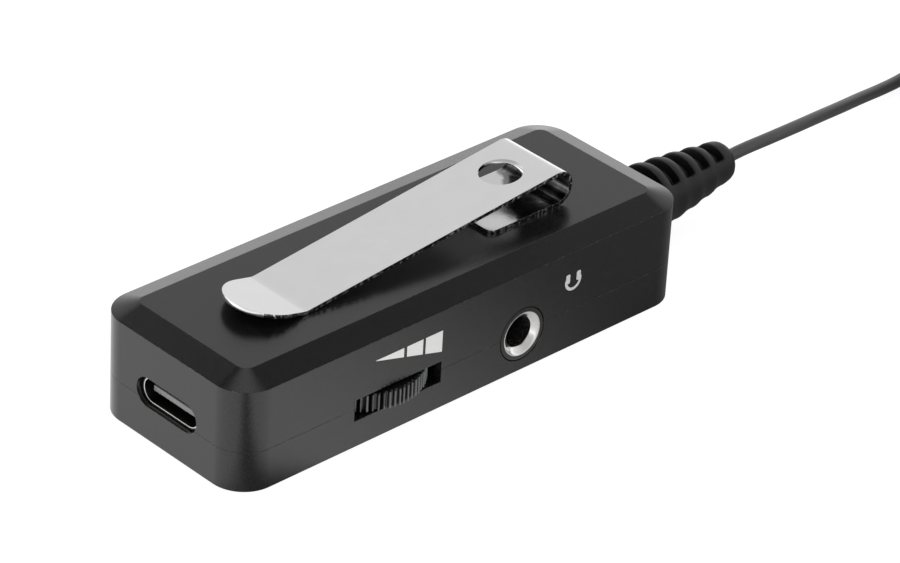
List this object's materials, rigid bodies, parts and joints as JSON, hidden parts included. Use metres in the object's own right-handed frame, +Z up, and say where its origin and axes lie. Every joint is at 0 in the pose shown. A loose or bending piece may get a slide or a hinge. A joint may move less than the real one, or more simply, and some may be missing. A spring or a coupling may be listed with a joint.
{
  "type": "lavalier microphone",
  "caption": "Clip-on lavalier microphone whose lead runs from a small in-line audio box with a belt clip, a USB-C port, a volume wheel and a headphone socket.",
  "frame": {"origin": "centre of the audio box's underside, where it rests on a table", "axes": "+Z up through the box, -X towards the USB-C port, +X towards the microphone cable, -Y towards the volume wheel and the headphone socket"},
  "size_m": [0.1724, 0.0318, 0.0208],
  "materials": {
    "anodised_aluminium": "black anodised, fine sand-blasted, satin",
    "screw_steel": "plain steel",
    "board": "green solder mask",
    "plated_steel": "nickel plated, bright",
    "grey_plastic": "moulded, grey",
    "contact_brass": "gold plated",
    "base_plastic": "brown laminate",
    "carbon_track": "printed carbon",
    "wheel_plastic": "moulded, satin black",
    "black_plastic": "moulded, black",
    "clip_steel": "polished spring steel",
    "black_rubber": "moulded, matte black",
    "cable_jacket": "extruded, satin black",
    "wire_red": "coloured insulation",
    "tie_fabric": "woven hook-and-loop strap",
    "foam": "open-cell foam, matte black"
  },
  "bodies": {
    "housing": {"lower_shell": "anodised_aluminium", "upper_shell": "anodised_aluminium", "housing_screws": "screw_steel", "circuit_board": "board", "usb_shell": "plated_steel", "usb_insulator": "grey_plastic", "usb_contacts": "contact_brass", "volume_base": "base_plastic", "volume_track": "carbon_track", "volume_screw": "screw_steel", "jack_body": "black_plastic", "jack_bushing": "plated_steel", "jack_contacts": "contact_brass", "audio_chip": "black_plastic", "amplifier_chip": "black_plastic", "crystal": "plated_steel", "chip_components": "base_plastic", "belt_clip_foot": "clip_steel", "belt_clip_rivet": "clip_steel", "strain_relief": "black_rubber", "cable_tail": "cable_jacket", "board_wires": "wire_red", "solder_pads": "plated_steel", "cable_run": "cable_jacket", "cable_coil": "cable_jacket", "cable_tie": "tie_fabric", "mic_lead": "cable_jacket", "mic_boot": "black_rubber", "mic_barrel": "anodised_aluminium", "mic_element": "plated_steel", "mic_wires": "wire_red", "mic_grille": "wheel_plastic", "tie_clip_ring": "black_plastic", "tie_clip_pin": "screw_steel", "tie_clip_spring": "clip_steel"},
    "volume_wheel": {"volume_wheel": "wheel_plastic", "volume_wiper": "contact_brass"},
    "belt_clip_leaf": {"belt_clip_leaf": "clip_steel"},
    "foam_windscreen": {"foam_windscreen": "foam"},
    "tie_clip_jaw": {"tie_clip_jaw": "black_plastic"}
  },
  "joints": [
    {"name": "volume_turn", "type": "hinge", "parent": "housing", "child": "volume_wheel", "pos_m": [-0.0103, -0.0048, 0.0044], "axis": [0, 0, 1], "range_deg": [-140, 140]},
    {"name": "belt_clip_flex", "type": "hinge", "parent": "housing", "child": "belt_clip_leaf", "pos_m": [0.02017, -0.0003, 0.0151], "axis": [0, 1, 0], "range_deg": [0, 8], "stiffness_Nm_per_rad": 2, "springref_deg": -2.86},
    {"name": "windscreen_pull", "type": "slide", "parent": "housing", "child": "foam_windscreen", "axis": [1, 0, 0], "range_m": [0, 0.009]},
    {"name": "tie_clip_open", "type": "hinge", "parent": "housing", "child": "tie_clip_jaw", "pos_m": [0.1255, 0.00334, 0.00931], "axis": [-1, 0, 0], "range_deg": [0, 20], "stiffness_Nm_per_rad": 0.06, "springref_deg": -17.19, "deforming": ["tie_clip_spring"]}
  ]
}
